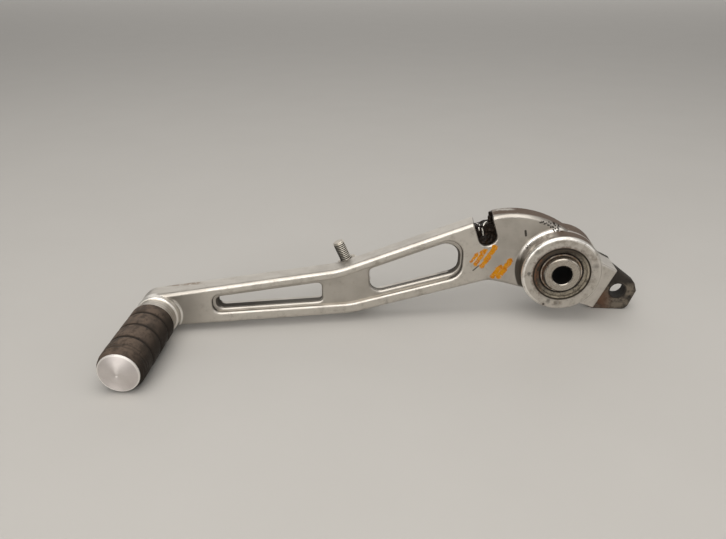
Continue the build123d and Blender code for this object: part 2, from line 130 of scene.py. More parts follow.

# Film and dirt, and painted light and shade: shade low on the boss wall, round the mouth of the seal, in the
# slots and at the panel's ends, and light at the lower right of the seals
film_x = (-36.0, 22.0)
film_fade_y = (-3.4, -1.4)
film_fade_z = (6.0, 14.0)
film_streak_x = (-34.5, -25.0)
film_streak_y = (2.5, 5.0)
wall_film_fade = (-6.0, 4.0)
wall_full_fade_x = (-8.0, -2.0)
wall_full_fade_z = (12.0, 4.0)
wall_root_fade_z = (9.0, 3.0)
# Painted shade: the film on the boss wall is darker olive low down.
wall_low_shade_fade_z = (4.0, 14.0)
# Painted shade: the stain round the seal's mouth is heavier at the upper left.
mouth_shade_fade = (-9.0, 9.0)
tab_rust_fade_x = (35.0, 27.0)
tab_rust_fade_z = (-14.0, -20.0)
tab_black_fade_z = (-15.0, -11.0)
# Dirt and painted shade in the slots and at the panel's ends.
slot_layers = (3.3, 6.8)
slot_inset_fade = (3.5, 4.5)
slot_end_reach = 12.0
left_slot_x = (-178.0, -118.0)
left_slot_fade_x = (-128.0, -170.0)
right_slot_x = (-100.0, -44.0)
right_slot_fade_x = (-75.0, -58.0)
seal_rust_fade_x = (-4.0, -12.0)
# Paler at the lower right of the seal: dry dirt and painted light.
seal_lit_dry_fade = (5.0, -8.0)
packed_rust_fade_x = (-7.0, -12.0)
# Paler at the lower right of the packed dirt: dry dirt and painted light.
packed_lit_dry_fade = (7.0, -7.0)

# Paint dabs on the plate: two places in x and z, and half the width
paint_dabs = (
    ((-33.4, 10.8), (-39.2, 0.8), 1.5),
    ((-38.4, 9.2), (-42.8, 1.8), 1.3),
    ((-42.6, 7.0), (-44.8, 3.4), 1.0),
    ((-24.8, 3.2), (-29.9, -5.6), 1.5),
    ((-29.6, -0.2), (-33.2, -5.8), 1.3),
)
paint_fade_y = (-9.0, -7.8)

# Soft dark spots on the boss face: x, z, radius, softness and strength
boss_smudges = (
    (-16.3, -0.2, 0.9, 0.6, 0.7),
    (-7.1, -17.2, 0.5, 0.2, 0.95),
    (-5.0, -15.3, 1.0, 0.8, 0.55),
    (-0.8, -16.3, 1.2, 1.0, 0.45),
    (16.0, 5.2, 1.3, 1.0, 0.45),
    (-13.7, 12.0, 1.4, 1.0, 0.4),
)

# Specks of black dirt on the hump lie along these strokes: two places in x and z, and half the width
speck_trails = (
    ((-12.0, 24.6), (-7.0, 23.4), 0.8),
    ((-7.0, 24.4), (-3.0, 22.6), 1.3),
    ((-5.6, 22.0), (-0.6, 18.4), 1.5),
    ((-17.4, 10.8), (-15.8, 13.2), 0.6),
)
speck_spacing = 1.0
speck_share = 0.40
speck_front_fade_y = (-5.5, -4.8)
speck_back_fade_y = (-0.5, -2.0)

# Scuffs: a worn patch on top of the toe, a scratch and a nick
toe_patch_x = (-198.0, -181.0)
toe_patch_y = (-24.6, -21.6)
scratch_line = ((-43.6, -1.6), (-41.0, 0.8), 0.35)
nick_line = ((-18.9, 19.8), (-18.4, 17.3), 0.55)

# Grease in the notch: places to the right of its middle, below the arm's upper edge and under the front, and
# the thickness. The smears shine and the lumps are black.
grease_smears = (
    (((-1.4, 5.0, 4.0), (-1.7, 7.3, 4.0), (-2.0, 9.8, 4.0)), 0.5),
    (((-3.7, 4.3, 9.2), (-3.0, 4.5, 7.8), (-2.1, 4.8, 6.4)), 0.5),
    (((2.0, 4.3, 6.7), (0.7, 4.4, 6.4), (-0.7, 4.7, 4.5)), 0.6),
    (((-3.1, 4.4, 4.0), (-3.2, 5.4, 3.8), (-3.2, 6.5, 4.0)), 0.5),
)
grease_lumps = (
    (((4.5, -0.6, 7.0), (3.9, 1.8, 7.0), (3.5, 3.6, 6.8), (3.2, 5.2, 6.4)), 1.15),
)
web_overhang = 0.8
thinnest_grease = 0.15

# Dirt in a seal: its height at the spring, its rise to the outer wall, and its least and most height
seal_dirt_height = 0.85
seal_dirt_rise = 0.6
seal_dirt_range = (0.3, 2.1)
seal_dirt_gap = 0.05
seal_noise_y = 7.0

# Lumps of soft surfaces: the height of each noise and its fineness
rubber_wear = ((0.10, 0.22), (0.05, 0.7))
seal_lumps = ((0.45, 0.35), (0.25, 1.1))
notch_lumps = ((0.75, 0.33), (0.45, 0.8), (0.2625, 1.9))
smear_lumps = ((0.4, 0.9),)

# Threaded pieces
screw_tip_x = -113.7
screw_tip_z = 9.3
screw_lean = radians(23.3)
screw_length = 30.0
peg_screw_length = 22.0
screw_radius = 2.97
screw_chamfer = 0.6
screw_head = 4.0
thread_pitch = 1.0
thread_depth = 0.55
thread_flank = 1.25
# Black between the threads: dirt and painted shade.
thread_dirt_and_shade_fade = (screw_radius - 0.14, screw_radius - 0.34)
# Painted shade on the screw's left side.
shaded_side_fade = (0.4, -2.2)
clean_tip_fade = (0.9, 1.5)
hex_flats = 10.0
hex_face_radius = hex_flats / 2 * 0.97
hex_chamfer = radians(30.0)
nut_below_tip = 10.8
nut_height = 5.0
nut_bore = 3.02
nut_countersink = 3.5

# Ribbed rubber of the peg
rubber_shoulder = 4.2
rubber_shoulder_arc = 9.32
rubber_bore = 6.02
first_groove = 7.2
groove_pitch = 10.5
groove_count = 3
groove_depth = 0.65
groove_half_width = 0.9
end_ring_pitch = 2.1
end_ring_depth = 0.32
end_ring_reach = 8.0
end_ring_start = 2.0

# Garter springs: the wire's radius in shares of the coil's, and the spacing in shares of the wire's radius
wire_share = 0.3
wire_spacing = 2.3

# Camera solved from the photograph
camera_place = (-82.685, -310.605, 145.132)
camera_pitch = radians(25.92)
camera_yaw = radians(-3.29)
camera_roll = radians(0.12)
camera_lens = 32.39
sensor_width = 36.0

# Floor, room and lamps, in metres and watts. A lamp has a name, a place, a width and height, and a power.
floor_size = 6.6
room_colour = (1.0, 0.98, 0.95)
room_strength = 0.28
lamp_colour = (1.0, 0.975, 0.94)
overhead_colour = (1.0, 0.972, 0.93)
overhead_target = (-0.10, -0.16, 0.0)
overhead_lamp = ("overhead", (-0.12, -0.36, 0.8), (1.0, 1.3), 7.2)
other_lamps = (
    ("back_panel", (-0.1, 3.2, 1.32), (5.6, 2.88), 36.8),
    ("left_key", (-0.67, -1.15, 0.25), (0.3, 0.3), 2.2),
    ("front_panel", (-0.1, -1.1, 0.55), (1.3, 0.55), 3.6),
    ("right_panel", (0.9, -0.45, 0.42), (0.7, 0.6), 1.2),
)

# Colours
aluminium = (0.515, 0.485, 0.44)
pale_aluminium = (0.585, 0.55, 0.50)
rubbed_aluminium = (0.66, 0.625, 0.57)
# Colour of the painted highlights.
highlight_aluminium = (0.93, 0.90, 0.85)
dull_aluminium = (0.43, 0.40, 0.36)
stain = (0.27, 0.225, 0.18)
brown_grime = (0.088, 0.058, 0.040)
# Olive grime, also laid as painted shade low on the boss wall, round the mouth of the seal and in the slots.
olive_grime_and_shade = (0.034, 0.027, 0.018)
tab_grey = (0.125, 0.103, 0.078)
rust_brown = (0.100, 0.046, 0.022)
worn_brown = (0.20, 0.14, 0.09)
black_grease = (0.010, 0.007, 0.005)
thick_grease = (0.040, 0.024, 0.015)
shining_grease = (0.86, 0.83, 0.77)
# Pale dry dirt, laid at the lower right of the seals, where it is partly painted light.
lit_dry_dirt = (0.27, 0.235, 0.18)
packed_dirt = (0.024, 0.017, 0.011)
paint_yellow = (0.52, 0.215, 0.004)
paint_orange = (0.41, 0.13, 0.003)
turned_pale = (0.71, 0.67, 0.65)
turned_grey = (0.64, 0.60, 0.58)
turned_mark = (0.30, 0.26, 0.23)
# Painted highlight on the rim of the peg's head.
cap_rim_highlight = (0.88, 0.85, 0.82)
ground_steel = (0.47, 0.43, 0.375)
brown_steel = (0.30, 0.245, 0.19)
steel_ring = (0.22, 0.18, 0.145)
# Painted shade in the bore of the sleeve and on its lower edge.
bore_shade_black = (0.004, 0.003, 0.0025)
bright_wire = (0.66, 0.59, 0.51)
brown_wire = (0.36, 0.24, 0.155)
pale_zinc = (0.66, 0.625, 0.56)
grey_zinc = (0.46, 0.42, 0.355)
seal_black = (0.036, 0.029, 0.020)
seal_rust = (0.115, 0.050, 0.024)
# Painted shade on the outer edge of the seal.
seal_edge_shade = (0.016, 0.012, 0.008)
rubber_black = (0.013, 0.009, 0.006)
# Dusty colour of the rubber, laid paler along its top left as painted light.
rubber_dust_and_light = (0.120, 0.087, 0.065)
rubber_streak = (0.011, 0.008, 0.006)
rubber_patch = (0.022, 0.016, 0.011)
floor_dark = (0.48, 0.465, 0.442)
floor_light = (0.505, 0.49, 0.467)


# Small helpers for meshes and places


def mesh_piece(name, points, faces, material, sharp_angle, replaced=None):
    """New piece of the pedal from points in metres, smooth up to an angle. It may replace a solid node."""
    mesh = bpy.data.meshes.new(name)
    mesh.from_pydata(points, [], faces)
    mesh.validate()
    mesh.polygons.foreach_set("use_smooth", [True] * len(mesh.polygons))
    mesh.set_sharp_from_angle(angle=sharp_angle)
    piece = bpy.data.objects.new(name, mesh)
    bpy.context.scene.collection.objects.link(piece)
    piece.data.materials.append(material)
    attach(piece, "pedal")
    if replaced:
        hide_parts(replaced)


def circle(count):
    """Angles of points spread evenly round a circle."""
    return [2 * pi * step / count for step in range(count)]


def ring_point(radius, angle, y, x=0.0, z=0.0):
    """Point of a ring round a line along Y."""
    return (x + radius * cos(angle), y, z + radius * sin(angle))


def ring_faces(rings, around, first=0, closed=False):
    """Quads between rings of points that follow each other in a list."""
    faces = []
    for ring in range(rings if closed else rings - 1):
        low = first + ring * around
        high = first + (ring + 1) % rings * around
        for step in range(around):
            after = (step + 1) % around
            faces.append((low + step, low + after, high + after, high + step))
    return faces


def turned_over(faces):
    """Faces that look the other way."""
    return [tuple(reversed(face)) for face in faces]


def axis_frame(origin, tip_direction, flat_direction):
    """Matrix of a screw: its tip is the origin, +Z points out of the tip and +X out of a flat."""
    z = Vector(tip_direction).normalized()
    x = Vector(flat_direction).normalized()
    y = z.cross(x)
    turn = Matrix((x, y, z)).transposed().to_4x4()
    return Matrix.Translation(Vector(origin)) @ turn


def lumps(spot, layers):
    """Sum of noises at a spot, each with its height and fineness."""
    return sum(height * noise.noise(spot * fineness) for height, fineness in layers)


def middle(node):
    """Middle of a node's box."""
    low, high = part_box(node)
    return (Vector(low) + Vector(high)) / 2


# Materials


class Shader:
    """A material, and short forms of the nodes that its surface is made of. Lengths are in millimetres."""

    def __init__(self, name, metallic=0.0, specular=0.5):
        self.material = bpy.data.materials.new(name)
        self.material.use_nodes = True
        self.nodes = self.material.node_tree.nodes
        self.links = self.material.node_tree.links
        self.surface = self.nodes["Principled BSDF"]
        self.surface.inputs["Metallic"].default_value = metallic
        self.surface.inputs["Specular IOR Level"].default_value = specular
        coordinates = self.node("TexCoord", {})
        self.normal = coordinates["Normal"]
        self.place = self.vector("MULTIPLY", coordinates["Object"], (1 / mm, 1 / mm, 1 / mm))
        self.x, self.y, self.z = self.parts(self.place)
        self.colour = None

    def put(self, socket, value):
        """Link a value to a socket, or set it where the value is a plain number, vector or colour."""
        if isinstance(value, bpy.types.NodeSocket):
            self.links.new(value, socket)
        else:
            socket.default_value = (*value, 1.0) if socket.type == "RGBA" else value

    def node(self, kind, values, **settings):
        """Outputs of a new node. Its values go to sockets by number or name."""
        node = self.nodes.new("ShaderNode" + kind)
        for name, setting in settings.items():
            setattr(node, name, setting)
        for socket, value in values.items():
            self.put(node.inputs[socket], value)
        return node.outputs

    def math(self, operation, *values):
        return self.node("Math", dict(enumerate(values)), operation=operation)[0]

    def vector(self, operation, *values):
        return self.node("VectorMath", dict(enumerate(values)), operation=operation)["Vector"]

    def measure(self, operation, *values):
        """Number from vectors, such as a distance."""
        return self.node("VectorMath", dict(enumerate(values)), operation=operation)["Value"]

    def parts(self, vector):
        """The three numbers of a vector."""
        return self.node("SeparateXYZ", {0: vector})

    def plus(self, first, second):
        return self.math("ADD", first, second)

    def minus(self, first, second):
        return self.math("SUBTRACT", first, second)

    def product(self, *values):
        result = values[0]
        for value in values[1:]:
            result = self.math("MULTIPLY", result, value)
        return result

    def most(self, *values):
        result = values[0]
        for value in values[1:]:
            result = self.math("MAXIMUM", result, value)
        return result

    def ramp(self, value, start, end):
        """Smooth step from 0 at start to 1 at end; start may be the larger one."""
        values = {"Value": value, "From Min": min(start, end), "From Max": max(start, end)}
        values["To Min"] = 0.0 if start < end else 1.0
        values["To Max"] = 1.0 if start < end else 0.0
        return self.node("MapRange", values, interpolation_type="SMOOTHSTEP")["Result"]

    def between(self, value, low, high, soft):
        """1 between two limits with soft edges."""
        past_low = self.ramp(value, low - soft, low + soft)
        return self.product(past_low, self.ramp(value, high + soft, high - soft))

    def grain(self, size, detail=3.0, stretch=(1.0, 1.0, 1.0), roughness=0.55):
        """Noise from 0 to 1 whose lumps are about size across."""
        place = self.vector("MULTIPLY", self.place, stretch)
        values = {"Vector": place, "Scale": 1 / size, "Detail": detail, "Roughness": roughness}
        return self.node("TexNoise", values)["Fac"]

    def waves(self, value, pitch):
        """Waves from -1 to 1."""
        return self.math("SINE", self.product(value, 2 * pi / pitch))

    def mix(self, amount, first, second):
        """Mix two colours."""
        return self.node("Mix", {0: amount, 6: first, 7: second}, data_type="RGBA")[2]

    def blend(self, amount, first, second):
        """Mix two numbers."""
        return self.node("Mix", {0: amount, 2: first, 3: second})[0]

    def cover(self, colour, *amounts):
        """Lay a colour over what is there, by the product of some amounts."""
        amount = self.product(*amounts)
        self.colour = self.mix(amount, self.colour, colour)
        return amount

    def seen_flat(self):
        """Place as seen from the front, without its depth."""
        return self.vector("MULTIPLY", self.place, (1.0, 0.0, 1.0))

    def around(self, centre_x, centre_z):
        """Distance from a line along Y."""
        return self.measure("DISTANCE", self.seen_flat(), (centre_x, 0.0, centre_z))

    def to_upper_left(self):
        """Distance from the pivot's axis towards the upper left, as seen from the front."""
        return self.product(self.minus(self.z, self.x), 0.5 ** 0.5)

    def stroke(self, start, end, half_width, edge):
        """1 on a straight stroke between two places given as x and z, seen from the front."""
        origin = Vector((start[0], 0.0, start[1]))
        run = Vector((end[0], 0.0, end[1])) - origin
        offset = self.vector("SUBTRACT", self.seen_flat(), tuple(origin))
        share = self.measure("DOT_PRODUCT", offset, tuple(run / run.length_squared))
        share = self.math("MAXIMUM", self.math("MINIMUM", share, 1.0), 0.0)
        away = self.measure("DISTANCE", offset, self.vector("MULTIPLY", share, tuple(run)))
        return self.ramp(self.plus(away, edge), half_width + 0.2, half_width - 0.2)

    def smudge(self, centre_x, centre_z, radius, soft, edge):
        """1 on a soft round spot, seen from the front."""
        away = self.plus(self.around(centre_x, centre_z), edge)
        return self.ramp(away, radius + soft, radius - soft)

    def dots(self, spacing, share):
        """Scattered round dots, seen from the front. Share is their radius in spacings."""
        flat = self.node("CombineXYZ", {0: self.x, 1: self.z})[0]
        away = self.node("TexVoronoi", {"Vector": flat, "Scale": 1 / spacing}, voronoi_dimensions="2D")
        return self.ramp(away["Distance"], share + 0.06, share - 0.06)

    def bent_line(self, bend, slopes):
        """Height of a line that bends once, with one slope on each side of the bend."""
        past = self.minus(self.x, bend[0])
        left = self.product(self.math("MINIMUM", past, 0.0), slopes[0])
        right = self.product(self.math("MAXIMUM", past, 0.0), slopes[1])
        return self.plus(self.plus(left, right), bend[1])

    def arm_front(self):
        """Depth of the arm's front face, which is swept left of the fold."""
        left_of_fold = self.math("MINIMUM", self.minus(self.x, fold_x), 0.0)
        return self.plus(self.product(left_of_fold, tan(arm_sweep)), plate_front)

    def bump(self, height, depth):
        """Relief of some depth. A second call adds to the first."""
        values = {"Distance": depth * mm, "Height": height}
        before = self.surface.inputs["Normal"].links
        if before:
            values["Normal"] = before[0].from_socket
        self.put(self.surface.inputs["Normal"], self.node("Bump", values)["Normal"])

    def finish(self, roughness):
        self.put(self.surface.inputs["Base Color"], self.colour)
        self.put(self.surface.inputs["Roughness"], roughness)
        return self.material


class CastSurface(Shader):
    """Surface of the lever, with the places and noises that its wear, dirt and painted light and shade go
    by.
    """

    def __init__(self):
        super().__init__("cast_aluminium_worn", metallic=1.0, specular=0.12)
        facing_x, facing_y, facing_z = self.parts(self.normal)
        self.faces_up = self.ramp(facing_z, 0.2, 0.8)
        self.faces_left = self.ramp(facing_x, -0.4, -0.7)
        self.turns_left = self.ramp(facing_x, -0.10, -0.40)
        self.turns_right = self.ramp(facing_x, 0.42, 0.70)
        self.faces_front = self.ramp(facing_y, -0.5, -0.8)
        self.not_back = self.ramp(facing_y, 0.8, 0.5)
        self.is_wall = self.ramp(self.math("ABSOLUTE", facing_y), 0.6, 0.3)
        self.cloud = self.grain(14.0, detail=4.0)
        self.blotch = self.grain(4.5, detail=5.0, roughness=0.7)
        self.specks = self.grain(1.7, detail=5.0, roughness=0.62)
        self.ragged = self.product(self.minus(self.grain(1.6), 0.5), 2.0)
        self.from_pivot = self.around(0.0, 0.0)
        self.upper_left = self.to_upper_left()
        self.behind_front = self.minus(self.y, self.arm_front())
        self.layer = self.product(self.behind_front, cos(arm_sweep))


def bare_metal(s):
    """Satin metal with faint stains: paler on the rims and collar, paler on the boss and nose as painted
    light, duller at the toe.
    """
    s.colour = s.mix(s.ramp(s.cloud, 0.35, 0.7), aluminium, dull_aluminium)
    s.cover(stain, s.ramp(s.blotch, 0.55, 0.75), 0.3)
    # Painted light: the boss and the nose in front of the plate are paler.
    lit_end = s.product(s.ramp(s.x, *lit_end_fade_x), s.ramp(s.y, *lit_end_fade_y))
    s.cover(pale_aluminium, lit_end, s.ramp(s.blotch, 0.75, 0.4))
    s.cover(dull_aluminium, s.ramp(s.x, *dull_toe_fade_x), s.faces_front, 0.5)
    on_arm = s.between(s.x, *rubbed_arm_x, 8.0)
    on_rims = s.product(on_arm, s.faces_front, s.ramp(s.layer, *rubbed_layer_fade))
    s.cover(rubbed_aluminium, on_rims, s.ramp(s.blotch, 0.75, 0.45), 0.8)
    proud = s.ramp(s.behind_front, -(toe_boss_rise + 0.2), -(toe_boss_rise + 0.5))
    s.on_collar = s.product(proud, s.ramp(s.x, toe_right + 1.0, toe_right - 1.0))
    s.cover(pale_aluminium, s.on_collar, 0.8)
    s.cover(stain, s.on_collar, s.ramp(s.waves(s.y, collar_line_pitch), 0.3, 1.0), 0.35)


def painted_highlights(s):
    """Painted highlights in a pale colour: the rim of the boss, brightest at the upper left, the root of its
    flare at the upper left, and two rings of the toe boss.
    """
    rim = s.product(
        s.between(s.from_pivot, boss_radius - boss_edge, boss_radius + 0.2, 0.2),
        s.ramp(s.y, boss_front + boss_edge, boss_front + boss_edge - 0.5),
        s.blend(s.ramp(s.upper_left, *rim_highlight_fade), 0.15, 0.9))
    root = s.product(
        s.between(s.from_pivot, boss_radius + 0.5, boss_radius + boss_root, 0.3),
        s.between(s.y, plate_front - boss_root, plate_front + 0.4, 0.3),
        s.ramp(s.upper_left, *root_highlight_fade),
        s.ramp(s.z, *root_highlight_fade_z))
    from_peg = s.around(peg_x, peg_z)
    inner_ring_highlight = s.between(from_peg, *toe_inner_ring, 0.15)
    outer_ring_highlight = s.product(s.between(from_peg, *toe_outer_ring, 0.2), s.ramp(s.z, *toe_outer_ring_fade_z))
    rings = s.product(s.most(inner_ring_highlight, outer_ring_highlight), s.between(s.y, *toe_ring_y, 0.1))
    # Painted highlights.
    s.cover(highlight_aluminium, s.most(rim, root, rings))


def boss_marks(s):
    """Stains and soft dark spots on the boss face, and a trail of black specks over the hump."""
    on_boss = s.ramp(s.from_pivot, boss_radius + 0.5, boss_radius - 0.5)
    on_face = s.product(on_boss, s.ramp(s.y, boss_front + 1.0, boss_front + 0.3))
    s.cover(stain, s.ramp(s.blotch, 0.50, 0.66), on_face, 0.45)
    spots = []
    for x, z, radius, soft, strength in boss_smudges:
        spots.append(s.product(s.smudge(x, z, radius, soft, s.ragged), strength))
    trails = [s.stroke(*trail, s.ragged) for trail in speck_trails]
    on_hump = s.product(s.ramp(s.y, *speck_back_fade_y), s.ramp(s.y, *speck_front_fade_y))
    hump_specks = s.product(s.most(*trails), s.dots(speck_spacing, speck_share), on_hump)
    face_specks = s.product(s.ramp(s.specks, 0.66, 0.71), on_face, s.ramp(s.cloud, 0.4, 0.55))
    pits = s.most(s.product(s.most(*spots), on_face), hump_specks, face_specks)
    return s.cover(black_grease, pits, 0.92)


def film_on_top(s):
    """Film on top of the hump and the boss, with a pale streak near the notch."""
    on_top = s.product(
        s.between(s.x, *film_x, 1.5),
        s.ramp(s.z, *film_fade_z),
        s.faces_up,
        s.ramp(s.y, *film_fade_y))
    streak = s.product(
        s.between(s.x, *film_streak_x, 2.5),
        s.between(s.plus(s.y, s.ragged), *film_streak_y, 0.9),
        s.ramp(s.blotch, 0.68, 0.5))
    return s.product(on_top, s.ramp(s.blotch, 0.12, 0.42), s.blend(streak, 0.95, 0.1))


def film_on_wall(s):
    """Film on the boss wall: patchy at the upper left, full on the left and on top."""
    on_wall = s.between(s.from_pivot, boss_radius - 0.6, boss_radius + 0.6, 0.3)
    on_root = s.between(s.from_pivot, boss_radius, boss_radius + boss_root, 0.3)
    full = s.most(s.ramp(s.z, *wall_full_fade_z), s.ramp(s.x, *wall_full_fade_x))
    patchy = s.product(s.ramp(s.blotch, 0.36, 0.60), 0.7)
    return s.product(
        s.most(on_wall, s.product(on_root, s.ramp(s.z, *wall_root_fade_z))),
        s.between(s.y, boss_front + boss_edge, plate_front + 0.3, 0.4),
        s.ramp(s.upper_left, *wall_film_fade),
        s.blend(full, patchy, 0.95))


def brown_film(s):
    """Brown film on the hump and the boss, darker low on the boss wall as painted shade, and round the mouth
    of the seal a stain, heavier at the upper left as painted shade, with a dark line of painted shade.
    """
    top_film = film_on_top(s)
    wall_film = film_on_wall(s)
    from_mouth = s.plus(s.from_pivot, s.product(s.ragged, 1.2))
    # Painted shade: the stain is heavier at the upper left.
    mouth_stain_and_shade = s.product(
        s.ramp(from_mouth, mouth_radius + 2.0, mouth_radius + 0.4),
        s.blend(s.ramp(s.upper_left, *mouth_shade_fade), 0.2, 0.9))
    # Painted shade: a dark line round the mouth.
    mouth_shade_line = s.ramp(s.from_pivot, mouth_radius + 0.6, mouth_radius + 0.3)
    # Painted shade: the film on the boss wall is darker olive low down.
    s.cover(s.mix(s.ramp(s.z, *wall_low_shade_fade_z), olive_grime_and_shade, brown_grime), wall_film)
    s.cover(brown_grime, s.most(top_film, mouth_stain_and_shade))
    s.cover(olive_grime_and_shade, mouth_shade_line)
    return s.most(top_film, wall_film, mouth_shade_line, mouth_stain_and_shade)


def tab_dirt_and_shade(s):
    """The clevis tab has lost its shine: grey, black on top, rusty low on its left, and black in its hole as
    dirt and painted shade.
    """
    tab = s.product(s.ramp(s.y, tab_front - 1.2, tab_front), s.ramp(s.x, tab_left - 3.0, tab_left + 2.0))
    colour = s.mix(s.ramp(s.blotch, 0.40, 0.62), tab_grey, black_grease)
    low_left = s.product(s.ramp(s.x, *tab_rust_fade_x), s.ramp(s.z, *tab_rust_fade_z))
    colour = s.mix(s.product(low_left, s.ramp(s.cloud, 0.3, 0.5), 0.85), colour, rust_brown)
    # Dirt and painted shade: the hole and a ring round it are black.
    hole_dirt_and_shade = s.ramp(s.around(clevis_x, clevis_z), clevis_hole_radius + 1.1, clevis_hole_radius + 0.3)
    on_top = s.product(s.ramp(s.z, *tab_black_fade_z), s.ramp(s.blotch, 0.1, 0.35), 0.92)
    colour = s.mix(s.most(hole_dirt_and_shade, on_top), colour, black_grease)
    return s.cover(colour, tab, 0.96)


def notch_grease(s):
    """Black grease on the walls of the spring notch."""
    from_notch = s.vector("SUBTRACT", s.place, (notch_x, 0.0, notch_z))
    across = s.measure("DOT_PRODUCT", from_notch, tuple(along_arm))
    above = s.measure("DOT_PRODUCT", from_notch, tuple(above_arm))
    inside = s.between(across, -(notch_half + 0.2), notch_half + 0.2, 0.15)
    right_wall = s.product(s.between(across, 0.0, notch_half + 2.5, 0.3), s.faces_left)
    return s.cover(
        s.mix(s.ramp(s.blotch, 0.5, 0.7), black_grease, thick_grease),
        s.most(inside, right_wall),
        s.ramp(above, -(notch_depth + 0.4), -(notch_depth + 0.1)),
        s.ramp(s.behind_front, notch_edge + 0.1, notch_edge + 0.7),
        s.not_back)


def slot_dirt_and_shade(s):
    """Dirt and painted shade on the slots' inner walls, darkest towards the left end of the left slot and
    the right end of the right slot, and on the panel's walls at its left and right ends.
    """
    below = s.minus(s.bent_line(upper_bend, upper_slopes), s.z)
    above = s.minus(s.z, s.bent_line(lower_bend, lower_slopes))
    inside = s.product(s.ramp(below, *slot_inset_fade), s.ramp(above, *slot_inset_fade))
    # Dirt and painted shade on the slots' inner walls.
    walls = s.product(inside, s.is_wall, s.between(s.layer, *slot_layers, 0.25))
    left_share = s.blend(s.ramp(s.x, *left_slot_fade_x), 0.85, 1.0)
    left_slot = s.product(s.between(s.x, *left_slot_x, 1.0), left_share)
    right_share = s.blend(s.ramp(s.x, *right_slot_fade_x), 0.8, 1.0)
    right_slot = s.product(s.between(s.x, *right_slot_x, 1.0), right_share)
    dirt = s.product(walls, s.most(left_slot, right_slot), s.ramp(s.blotch, 0.05, 0.3), 0.94)
    # Dirt and painted shade on the panel's walls at its ends.
    near_left = s.between(s.x, panel_left_x - 2.0, panel_left_x + slot_end_reach, 1.5)
    near_right = s.between(s.x, panel_right_x - slot_end_reach, panel_right_x + 2.0, 1.5)
    ends = s.most(s.product(near_left, s.turns_right), s.product(near_right, s.turns_left))
    ends = s.product(ends, inside, s.ramp(s.layer, 0.5, 0.9), 0.9)
    return s.cover(s.mix(s.cloud, olive_grime_and_shade, black_grease), s.most(dirt, ends))


def scuffs(s):
    """Worn patch on top of the toe, a scratch and a nick."""
    patch = s.product(s.between(s.x, *toe_patch_x, 2.0), s.between(s.y, *toe_patch_y, 0.8))
    s.cover(worn_brown, patch, s.faces_up, s.ramp(s.blotch, 0.36, 0.52), 0.7)
    lines = s.most(s.stroke(*scratch_line, 0.0), s.stroke(*nick_line, 0.0))
    s.cover(black_grease, lines, s.faces_front, 0.85)


def paint(s):
    """Dry dabs of a yellow paint pen on the plate."""
    uneven = s.plus(s.ragged, s.product(s.minus(s.blotch, 0.5), 2.4))
    dabs = s.most(*[s.stroke(*dab, uneven) for dab in paint_dabs])
    on_plate = s.product(s.faces_front, s.ramp(s.y, *paint_fade_y))
    colour = s.mix(s.ramp(s.specks, 0.42, 0.66), paint_yellow, paint_orange)
    return s.cover(colour, dabs, on_plate, s.ramp(s.grain(0.7), 0.28, 0.42))


def cast_aluminium():
    """Satin aluminium of the lever, the dirt, grease and paint that it has picked up, and painted
    highlights, light and shade.
    """
    s = CastSurface()
    bare_metal(s)
    painted_highlights(s)
    pits = boss_marks(s)
    film = brown_film(s)
    tab = tab_dirt_and_shade(s)
    greased = notch_grease(s)
    # Dirt and painted shade in the slots.
    slots = slot_dirt_and_shade(s)
    scuffs(s)
    painted = paint(s)
    brushed = s.grain(2.0, detail=4.0, stretch=(0.12, 1.6, 1.6))
    rough = s.blend(s.ramp(brushed, 0.3, 0.7), 0.28, 0.42)
    rough = s.blend(s.most(film, tab, painted, slots), rough, 0.65)
    rough = s.blend(greased, rough, 0.35)
    s.put(s.surface.inputs["Metallic"], s.ramp(s.most(film, tab, greased, painted, slots), 0.85, 0.15))
    s.bump(s.grain(0.35), 0.02)
    s.bump(s.product(s.waves(s.y, collar_turning_pitch), s.on_collar), 0.02)
    s.bump(s.product(s.most(film, tab, greased), s.blotch), 0.25)
    s.bump(s.product(pits, -1.0), 0.08)
    return s.finish(rough)


def turned_aluminium():
    """Turned satin of the peg's head: a painted highlight on its rim, and a highlight that fans out from the
    middle.
    """
    s = Shader("turned_aluminium_satin", metallic=1.0)
    radius = s.around(peg_x, peg_z)
    cloud = s.grain(5.0)
    marks = s.grain(0.7)
    s.colour = s.mix(s.ramp(cloud, 0.3, 0.75), turned_pale, turned_grey)
    s.cover(turned_mark, s.ramp(marks, 0.68, 0.74), 0.4)
    # Painted highlight on the rim.
    s.cover(cap_rim_highlight, s.ramp(radius, *cap_rim_highlight_fade))
    tangent = s.node("Tangent", {}, direction_type="RADIAL", axis="Y")
    s.put(s.surface.inputs["Tangent"], tangent["Tangent"])
    s.surface.inputs["Anisotropic"].default_value = 0.6
    s.surface.inputs["Anisotropic Rotation"].default_value = 0.25
    s.bump(s.waves(radius, cap_turning_pitch), 0.003)
    s.bump(marks, 0.008)
    rough = s.blend(s.ramp(radius, *cap_dull_fade), 0.40, 0.60)
    return s.finish(s.plus(rough, s.product(cloud, 0.06)))


